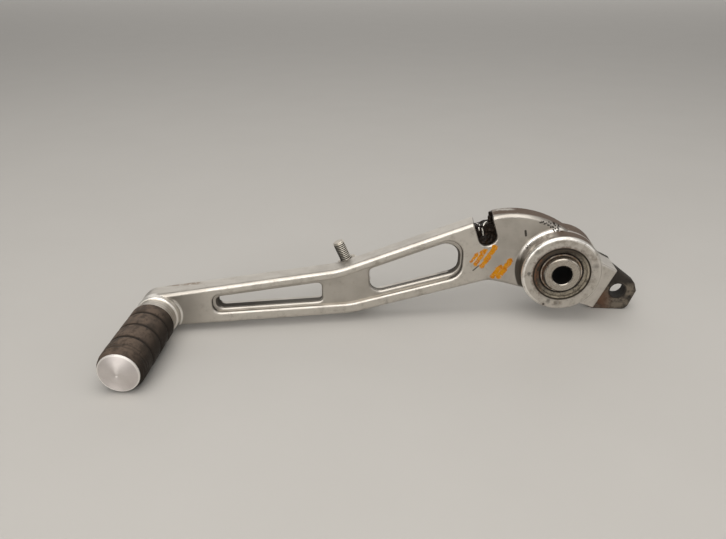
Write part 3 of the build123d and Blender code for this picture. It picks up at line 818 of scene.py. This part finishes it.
def bearing_steel():
    """Ground steel, a little brown from old grease, with painted shade: a black bore and a black line on its
    lower edge.
    """
    s = Shader("bearing_steel_ground", metallic=1.0, specular=0.1)
    radius = s.around(0.0, 0.0)
    rings = s.waves(radius, sleeve_turning_pitch)
    blotch = s.grain(3.0, detail=5.0, roughness=0.65)
    # Painted shade: the bore is black, and so is a line on the lower edge.
    bore_shade = s.ramp(radius, sleeve_bore_radius + 0.2, sleeve_bore_radius + 0.05)
    edge = s.between(radius, sleeve_radius - 0.5, sleeve_radius + 0.3, 0.1)
    black = s.most(bore_shade, s.product(edge, s.ramp(s.z, *sleeve_edge_shade_fade_z), 0.9))
    s.colour = s.mix(s.ramp(blotch, 0.45, 0.75), ground_steel, brown_steel)
    s.cover(steel_ring, s.ramp(rings, 0.2, 0.9), 0.25)
    s.cover(bore_shade_black, black)
    s.put(s.surface.inputs["Metallic"], s.ramp(black, 0.9, 0.1))
    s.bump(rings, 0.01)
    return s.finish(s.blend(black, s.blend(s.ramp(blotch, 0.4, 0.7), 0.25, 0.5), 0.9))


def spring_steel():
    """Bright wire of the garter springs with a tint of brown grease."""
    s = Shader("garter_wire", metallic=1.0)
    blotch = s.grain(2.5, detail=4.0)
    s.colour = s.mix(s.ramp(blotch, 0.4, 0.7), bright_wire, brown_wire)
    return s.finish(s.blend(blotch, 0.2, 0.4))


def zinc_steel(name, tip, out_of_tip):
    """Dull zinc plate of a screw with a clean tip: black between the threads as dirt and painted shade, and
    black on its left side as painted shade.
    """
    s = Shader(name, metallic=1.0, specular=0.2)
    blotch = s.grain(2.2, detail=5.0, roughness=0.65)
    from_tip = s.vector("SUBTRACT", s.place, tuple(tip / mm))
    radius = s.measure("LENGTH", s.vector("CROSS_PRODUCT", from_tip, tuple(out_of_tip)))
    depth = s.measure("DOT_PRODUCT", from_tip, tuple(-out_of_tip))
    to_right = s.measure("DOT_PRODUCT", from_tip, (out_of_tip.z, 0.0, -out_of_tip.x))
    at_end = s.math("ABSOLUTE", s.measure("DOT_PRODUCT", s.normal, tuple(out_of_tip)))
    s.colour = s.mix(s.ramp(blotch, 0.42, 0.70), pale_zinc, grey_zinc)
    s.cover(stain, s.ramp(at_end, 0.9, 0.97), 0.4)
    # Dirt and painted shade between the threads, painted shade on the left side.
    dirt = s.cover(
        black_grease,
        s.most(s.ramp(radius, *thread_dirt_and_shade_fade), s.ramp(to_right, *shaded_side_fade)),
        s.ramp(at_end, 0.97, 0.9),
        s.ramp(depth, *clean_tip_fade),
        0.94)
    s.put(s.surface.inputs["Metallic"], s.ramp(dirt, 0.9, 0.3))
    s.bump(s.grain(0.25, detail=2.0), 0.012)
    return s.finish(s.blend(dirt, s.blend(blotch, 0.3, 0.5), 0.9))


def seal_rubber():
    """Black rubber under a greasy film: rusty on the left, paler at the lower right from dry dirt and
    painted light, with a dark outline of painted shade.
    """
    s = Shader("seal_rubber_greasy", specular=0.3)
    blotch = s.grain(2.4, detail=5.0, roughness=0.65)
    rust = s.product(s.ramp(blotch, 0.36, 0.6), s.blend(s.ramp(s.x, *seal_rust_fade_x), 0.1, 0.8))
    s.colour = s.mix(rust, seal_black, seal_rust)
    # Dry dirt and painted light at the lower right.
    s.cover(lit_dry_dirt, s.ramp(s.to_upper_left(), *seal_lit_dry_fade), s.ramp(blotch, 0.3, 0.55))
    # Painted shade on the outer edge.
    s.cover(seal_edge_shade, s.ramp(s.around(0.0, 0.0), mouth_radius - 0.5, mouth_radius - 0.3))
    s.bump(blotch, 0.12)
    return s.finish(s.blend(s.ramp(blotch, 0.35, 0.65), 0.35, 0.6))


def seal_dirt():
    """Grease and road dirt packed in a seal: dark at the upper left, and dry and grey at the lower right,
    which is partly painted light and shade.
    """
    s = Shader("seal_dirt_packed", specular=0.3)
    blotch = s.grain(1.6, detail=5.0, roughness=0.7)
    # Painted light: paler towards the lower right.
    lit_lower_right = s.ramp(s.to_upper_left(), *packed_lit_dry_fade)
    dry = s.product(s.ramp(blotch, 0.25, 0.6), s.blend(lit_lower_right, 0.12, 1.0))
    s.colour = s.mix(dry, packed_dirt, lit_dry_dirt)
    s.cover(seal_rust, s.ramp(s.x, *packed_rust_fade_x), s.ramp(blotch, 0.45, 0.6), 0.7)
    s.cover(black_grease, s.ramp(s.around(0.0, 0.0), garter_outer_radius + 1.1, garter_outer_radius + 0.5))
    s.bump(s.grain(0.6, detail=4.0), 0.2)
    return s.finish(s.blend(dry, 0.35, 0.75))


def wet_grease():
    """Wet black grease with thicker brown parts."""
    s = Shader("grease_wet", specular=0.1)
    blotch = s.grain(1.6, detail=5.0, roughness=0.7)
    s.colour = s.mix(s.ramp(blotch, 0.5, 0.72), black_grease, thick_grease)
    s.bump(s.grain(0.9), 0.2)
    return s.finish(s.blend(s.ramp(blotch, 0.3, 0.7), 0.15, 0.35))


def shiny_grease():
    """Wet smears that mirror the light, broken by black."""
    s = Shader("grease_shiny", metallic=0.85)
    blotch = s.grain(1.2, detail=4.0)
    s.colour = s.mix(s.ramp(blotch, 0.54, 0.68), shining_grease, black_grease)
    return s.finish(s.blend(blotch, 0.12, 0.3))


def peg_rubber():
    """Dusty dark rubber: paler on the ribs and near the head, paler along the top left as painted light, and
    with darker patches.
    """
    s = Shader("peg_rubber_dusty", specular=0.22)
    cloud = s.grain(7.0, detail=5.0, roughness=0.65)
    streaks = s.grain(1.6, detail=4.0, stretch=(1.0, 0.25, 1.0))
    patches = s.grain(4.5, detail=4.0, roughness=0.65)
    upper_left = s.minus(s.product(s.minus(s.z, peg_z), 0.9), s.product(s.minus(s.x, peg_x), 0.45))
    # Painted light: the upper left of the rubber is paler.
    lit_top_left = s.ramp(upper_left, -3.0, 8.5)
    raised = s.ramp(s.around(peg_x, peg_z), rubber_radius - 0.5, rubber_radius - 0.1)
    head_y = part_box("peg_rubber")[0][1] / mm
    near_head = s.ramp(s.y, head_y + 9.0, head_y + 3.0)
    exposed = s.most(s.blend(raised, 0.12, 1.0), s.product(near_head, 0.9))
    dust_and_light = s.product(s.ramp(cloud, 0.2, 0.6), s.blend(lit_top_left, 0.06, 1.0), exposed)
    s.colour = s.mix(dust_and_light, rubber_black, rubber_dust_and_light)
    s.cover(rubber_streak, s.ramp(streaks, 0.58, 0.70), 0.6)
    s.cover(rubber_patch, s.ramp(patches, 0.47, 0.62), 0.6)
    s.bump(cloud, 0.2)
    s.bump(s.grain(0.3), 0.03)
    return s.finish(s.blend(s.ramp(cloud, 0.3, 0.7), 0.55, 0.8))


def floor_surface():
    """Plain pale floor with the faintest unevenness."""
    s = Shader("floor_pale")
    s.colour = s.mix(s.grain(60.0), floor_dark, floor_light)
    return s.finish(0.75)


out_of_stop = Vector((-sin(screw_lean), 0.0, cos(screw_lean)))
stop_tip = Vector((screw_tip_x * mm, middle("adjuster_screw").y, screw_tip_z * mm))
peg_tip = middle("peg_screw")
peg_tip.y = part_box("peg_screw")[0][1]

steel = bearing_steel()
stop_zinc = zinc_steel("stop_screw_zinc", stop_tip, out_of_stop)
peg_zinc = zinc_steel("peg_screw_zinc", peg_tip, towards_front)
wire = spring_steel()
black_rubber = seal_rubber()
seal_filling = seal_dirt()
notch_black = wet_grease()
notch_shine = shiny_grease()
ribbed_rubber = peg_rubber()
node_material = {
    "lever": cast_aluminium(),
    "bearing_cup": steel,
    "needle_cage": steel,
    "needle_rollers": steel,
    "front_seal": black_rubber,
    "rear_seal": black_rubber,
    "front_garter_spring": wire,
    "rear_garter_spring": wire,
    "pivot_sleeve": steel,
    "peg_core": turned_aluminium(),
    "peg_rubber": ribbed_rubber,
    "peg_screw": peg_zinc,
    "peg_washer": peg_zinc,
    "adjuster_screw": stop_zinc,
    "lock_nut": stop_zinc,
}
for node, material in node_material.items():
    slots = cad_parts[node].data.materials
    slots.clear()
    slots.append(material)


# Threaded pieces with their threads and chamfered hexagons


def thread_radius(depth, angle):
    """Radius of the threaded shank at a depth below the tip, in millimetres."""
    turn = (depth / thread_pitch - angle / (2 * pi)) % 1.0
    crest = abs(2 * turn - 1)
    radius = screw_radius - thread_depth * max(0.0, 1 - thread_flank * crest)
    return min(radius, screw_radius - screw_chamfer + depth)


def screw_point(radius, angle, depth):
    return (radius * cos(angle), radius * sin(angle), -depth)


def hexagon_points(angles, profile):
    """Points of a hexagon with a flat at angle 0. profile gives its rings' radius and depth at an angle."""
    columns = []
    for angle in angles:
        corner = hex_flats / 2 / cos((angle + pi / 6) % (pi / 3) - pi / 6)
        drop = (corner - hex_face_radius) * tan(hex_chamfer)
        columns.append([screw_point(radius, angle, depth) for radius, depth in profile(corner, drop)])
    return [point for ring in zip(*columns) for point in ring]


def threaded_piece(name, place, points, faces, material, node):
    """Piece from points in a screw's own frame, in millimetres."""
    placed = [place @ (Vector(point) * mm) for point in points]
    mesh_piece(name, placed, turned_over(faces), material, radians(35), node)


def bolt(name, place, length, material, node):
    """Hexagon screw with a rolled thread in place of a solid node."""
    around = 36
    rings = int(length / thread_pitch) * 10 + 1
    angles = circle(around)

    def head(corner, drop):
        return (
            (screw_radius, length),
            (corner, length),
            (corner, length + screw_head - drop),
            (hex_face_radius, length + screw_head),
        )

    points = []
    for ring in range(rings):
        depth = length * ring / (rings - 1)
        points += [screw_point(thread_radius(depth, angle), angle, depth) for angle in angles]
    first = len(points)
    points += hexagon_points(angles, head)
    faces = ring_faces(rings, around)
    faces.append(tuple(reversed(range(around))))
    faces += ring_faces(4, around, first)
    faces.append(tuple(range(len(points) - around, len(points))))
    threaded_piece(name, place, points, faces, material, node)


def nut(name, place, node):
    """Jam nut with chamfered corners and a countersunk bore."""
    around = 48
    sink = nut_countersink - nut_bore

    def section(corner, drop):
        return (
            (nut_countersink, 0.0),
            (hex_face_radius, 0.0),
            (corner, drop),
            (corner, nut_height - drop),
            (hex_face_radius, nut_height),
            (nut_countersink, nut_height),
            (nut_bore, nut_height - sink),
            (nut_bore, sink),
        )

    points = hexagon_points(circle(around), section)
    threaded_piece(name, place, points, ring_faces(8, around, closed=True), stop_zinc, node)


stop_place = axis_frame(stop_tip, out_of_stop, towards_front)
bolt("stop_screw_threaded", stop_place, screw_length, stop_zinc, "adjuster_screw")
nut_place = axis_frame(stop_tip - out_of_stop * nut_below_tip * mm, out_of_stop, towards_front)
nut("stop_nut_chamfered", nut_place, "lock_nut")
peg_place = axis_frame(peg_tip, towards_front, (1.0, 0.0, 0.0))
bolt("peg_screw_threaded", peg_place, peg_screw_length, peg_zinc, "peg_screw")


# Rubber of the peg with soft grooves, and fine rings near the head


def rubber_sleeve(name, node):
    """Worn rubber sleeve in place of the plain one."""
    around = 96
    rows = 165
    low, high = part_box(node)
    back_y = high[1] / mm
    length = (high[1] - low[1]) / mm

    def radius_at(depth):
        """Radius at a distance from the collar, in millimetres."""
        shoulder = max(0.0, depth - length + rubber_shoulder)
        radius = rubber_radius - rubber_shoulder_arc + (rubber_shoulder_arc ** 2 - shoulder ** 2) ** 0.5
        for groove in range(groove_count):
            away = depth - first_groove - groove * groove_pitch
            radius -= groove_depth * exp(-(away / groove_half_width) ** 2)
        ringed = min(1.0, max(0.0, (depth - length + end_ring_reach) / end_ring_start))
        radius -= ringed * end_ring_depth * (0.5 - 0.5 * cos(2 * pi * depth / end_ring_pitch))
        return radius

    points = []
    for row in range(rows + 1):
        depth = length * row / rows
        for angle in circle(around):
            spot = Vector(ring_point(rubber_radius, angle, depth))
            radius = radius_at(depth) - max(0.0, lumps(spot, rubber_wear))
            points.append(ring_point(radius, angle, back_y - depth, peg_x, peg_z))
    for y in (back_y - length, back_y):
        points += [ring_point(rubber_bore, angle, y, peg_x, peg_z) for angle in circle(around)]
    placed = [Vector(point) * mm for point in points]
    faces = ring_faces(rows + 3, around, closed=True)
    mesh_piece(name, placed, faces, ribbed_rubber, radians(60), node)


rubber_sleeve("peg_rubber_ribbed", "peg_rubber")


# Garter springs as fine closed coils


def garter_spring(name, node):
    """Endless coil spring in place of its plain ring."""
    low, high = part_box(node)
    centre_y = (low[1] + high[1]) / 2
    coil_radius = (high[1] - low[1]) / 2
    ring_radius = (high[0] - low[0]) / 2 - coil_radius
    wire_radius = wire_share * coil_radius
    turns = int(2 * pi * ring_radius / (wire_spacing * wire_radius))
    steps_a_turn = 10
    sides = 6
    steps = turns * steps_a_turn

    def centre_line(step):
        twist = 2 * pi * step / steps_a_turn
        reach = ring_radius + (coil_radius - wire_radius) * cos(twist)
        height = centre_y + (coil_radius - wire_radius) * sin(twist)
        return Vector(ring_point(reach, 2 * pi * step / steps, height))

    points = []
    for step, swing in enumerate(circle(steps)):
        here = centre_line(step)
        ahead = (centre_line(step + 1) - centre_line(step - 1)).normalized()
        outwards = here - Vector(ring_point(ring_radius, swing, centre_y))
        side = ahead.cross(outwards).normalized()
        out = side.cross(ahead)
        for angle in circle(sides):
            points.append(here + wire_radius * (cos(angle) * out + sin(angle) * side))
    faces = ring_faces(steps, sides, closed=True)
    mesh_piece(name, points, faces, wire, pi, node)


garter_spring("front_garter_coil", "front_garter_spring")
garter_spring("rear_garter_coil", "rear_garter_spring")


# Old grease


def seal_grease(name, facing):
    """Lumpy ring of dirt in the open channel of a seal. Facing is -1 at the front and 1 at the back."""
    around = 160
    across = 8
    floor_y = -facing * (boss_front + seal_floor_depth)
    inner = garter_outer_radius + seal_dirt_gap
    lowest, highest = seal_dirt_range
    points = []
    for row in range(across + 1):
        share = row / across
        radius = inner + (seal_wall_radius - inner) * share
        for angle in circle(around):
            spot = Vector(ring_point(radius, angle, facing * seal_noise_y))
            height = seal_dirt_height + seal_dirt_rise * share + lumps(spot, seal_lumps)
            height = max(lowest, min(highest, height))
            points.append(Vector(ring_point(radius, angle, floor_y + facing * height)) * mm)
    for radius in (seal_wall_radius, inner):
        points += [Vector(ring_point(radius, angle, floor_y)) * mm for angle in circle(around)]
    faces = ring_faces(across + 3, around, closed=True)
    if facing > 0:
        faces = turned_over(faces)
    mesh_piece(name, points, faces, seal_filling, pi)


seal_grease("front_seal_grease", -1)
seal_grease("rear_seal_grease", 1)


def grease_skin(name, place_at, thickness_at, lift):
    """Lumpy skin of grease. place_at gives a spot of the surface below it for two shares from 0 to 1."""
    columns = 28
    rows = 34
    tops = []
    bottoms = []
    for row in range(rows + 1):
        for column in range(columns + 1):
            shares = (column / columns, row / rows)
            spot = place_at(*shares)
            thickness = max(thinnest_grease, thickness_at(*shares) + lumps(spot, notch_lumps))
            tops.append((spot + lift * thickness) * mm)
            bottoms.append(spot * mm)
    a_row = columns + 1
    a_layer = len(tops)
    faces = []
    for row in range(rows):
        for column in range(columns):
            corner = row * a_row + column
            top = (corner, corner + 1, corner + a_row + 1, corner + a_row)
            faces.append(tuple(reversed(top)))
            faces.append(tuple(index + a_layer for index in top))
    rim = list(range(columns))
    rim += [row * a_row + columns for row in range(rows)]
    rim += [rows * a_row + column for column in range(columns, 0, -1)]
    rim += [row * a_row for row in range(rows, 0, -1)]
    for corner, after in zip(rim, rim[1:] + rim[:1]):
        faces.append((corner, after, after + a_layer, corner + a_layer))
    mesh_piece(name, tops + bottoms, faces, notch_black, pi)


def notch_spot(right, down, layer):
    """Place in the notch: to the right of its middle, below the arm's upper edge, and under the front."""
    spot = Vector((notch_x, 0.0, notch_z)) + along_arm * right - above_arm * down
    spot.y = plate_front + (spot.x - fold_x) * tan(arm_sweep) + layer / cos(arm_sweep)
    return spot


def pocket_floor(across, along):
    """Place on the pocket's floor, from the web's top down to the round end."""
    down = notch_web_drop + (notch_depth - notch_web_drop) * along
    beyond = max(0.0, down - notch_depth + notch_half)
    width = max(0.0, notch_half ** 2 - beyond ** 2) ** 0.5
    return notch_spot(width * (2 * across - 1), down, notch_pocket_depth)


def web_top(across, along):
    """Place on top of the web, from the back of the arm to a little over the pocket."""
    front_layer = notch_pocket_depth - web_overhang
    layer = plate_thickness + (front_layer - plate_thickness) * along
    return notch_spot(notch_half * (2 * across - 1), notch_web_drop, layer)


def pocket_thickness(across, along):
    """Thicker against the walls and in the round end."""
    return 0.9 + 1.3 * abs(2 * across - 1) ** 4 + 0.9 * along ** 4


def web_thickness(across, along):
    """Thicker against the walls, and thin at the back."""
    return 0.2 + 0.5 * along + 0.8 * abs(2 * across - 1) ** 4


def rounded(spots):
    """Path through some spots with its corners cut three times over."""
    for _ in range(3):
        cut = [spots[0]]
        for here, after in zip(spots, spots[1:]):
            cut += [here.lerp(after, 0.25), here.lerp(after, 0.75)]
        spots = cut + [spots[-1]]
    return spots


def grease_smear(name, spots, thickness, material):
    """Thick smear of grease with round ends along some spots of the notch."""
    sides = 14
    path = rounded([notch_spot(*spot) for spot in spots])
    last = len(path) - 1
    points = []
    for index, here in enumerate(path):
        ahead = (path[min(index + 1, last)] - path[max(index - 1, 0)]).normalized()
        side = ahead.cross(towards_front + above_arm).normalized()
        out = side.cross(ahead)
        swell = max(0.02, 1 - (2 * index / last - 1) ** 2) ** 0.5
        radius = thickness * swell * (1 + lumps(here, smear_lumps))
        for angle in circle(sides):
            points.append((here + radius * (cos(angle) * out + sin(angle) * side)) * mm)
    faces = ring_faces(len(path), sides)
    faces.append(tuple(reversed(range(sides))))
    faces.append(tuple(range(last * sides, (last + 1) * sides)))
    mesh_piece(name, points, faces, material, pi)


grease_skin("notch_pocket_grease", pocket_floor, pocket_thickness, towards_front)
grease_skin("notch_web_grease", web_top, web_thickness, above_arm)
for number, (spots, thickness) in enumerate(grease_smears, 1):
    grease_smear(f"notch_grease_smear_{number}", spots, thickness, notch_shine)
for number, (spots, thickness) in enumerate(grease_lumps, 1):
    grease_smear(f"notch_grease_lump_{number}", spots, thickness, notch_black)


# Floor, light and camera


def plane(name, size, place, material):
    """Square that faces up."""
    half = size / 2
    corners = [(-half, -half, 0), (half, -half, 0), (half, half, 0), (-half, half, 0)]
    mesh = bpy.data.meshes.new(name)
    mesh.from_pydata(corners, [], [(0, 1, 2, 3)])
    mesh.materials.append(material)
    piece = bpy.data.objects.new(name, mesh)
    piece.location = place
    bpy.context.scene.collection.objects.link(piece)
    return piece


def area_light(name, place, size, power, target, colour):
    """Soft light that faces a target and isn't seen by the camera."""
    lamp = bpy.data.lights.new(name, "AREA")
    lamp.shape = "RECTANGLE"
    lamp.size, lamp.size_y = size
    lamp.energy = power
    lamp.color = colour
    piece = bpy.data.objects.new(name, lamp)
    piece.location = place
    piece.rotation_mode = "QUATERNION"
    piece.rotation_quaternion = (Vector(target) - Vector(place)).to_track_quat("-Z", "Y")
    piece.visible_camera = False
    bpy.context.scene.collection.objects.link(piece)


floor_z = cad_box[0][2]
plane("floor", floor_size, (0.0, 0.0, floor_z), floor_surface())
object_middle = (cad_box[0] + cad_box[1]) / 2
area_light(*overhead_lamp, overhead_target, overhead_colour)
for lamp in other_lamps:
    area_light(*lamp, object_middle, lamp_colour)

world = bpy.data.worlds.new("room")
world.use_nodes = True
room = world.node_tree.nodes["Background"]
room.inputs["Color"].default_value = (*room_colour, 1.0)
room.inputs["Strength"].default_value = room_strength
bpy.context.scene.world = world

level_forward = Vector((sin(camera_yaw), cos(camera_yaw), 0.0))
level_right = Vector((cos(camera_yaw), -sin(camera_yaw), 0.0))
forward = cos(camera_pitch) * level_forward - Vector((0.0, 0.0, sin(camera_pitch)))
right = cos(camera_roll) * level_right + sin(camera_roll) * level_right.cross(forward)
up = right.cross(forward)
lens = bpy.data.cameras.new("photo_camera")
lens.sensor_fit = "HORIZONTAL"
lens.sensor_width = sensor_width
lens.lens = camera_lens
lens.clip_start = 0.01
camera = bpy.data.objects.new("photo_camera", lens)
camera_turn = Matrix((right, up, -forward)).transposed().to_4x4()
camera.matrix_world = Matrix.Translation(Vector(camera_place) * mm) @ camera_turn
bpy.context.scene.collection.objects.link(camera)
bpy.context.scene.camera = camera
bpy.context.scene.view_settings.view_transform = "Standard"
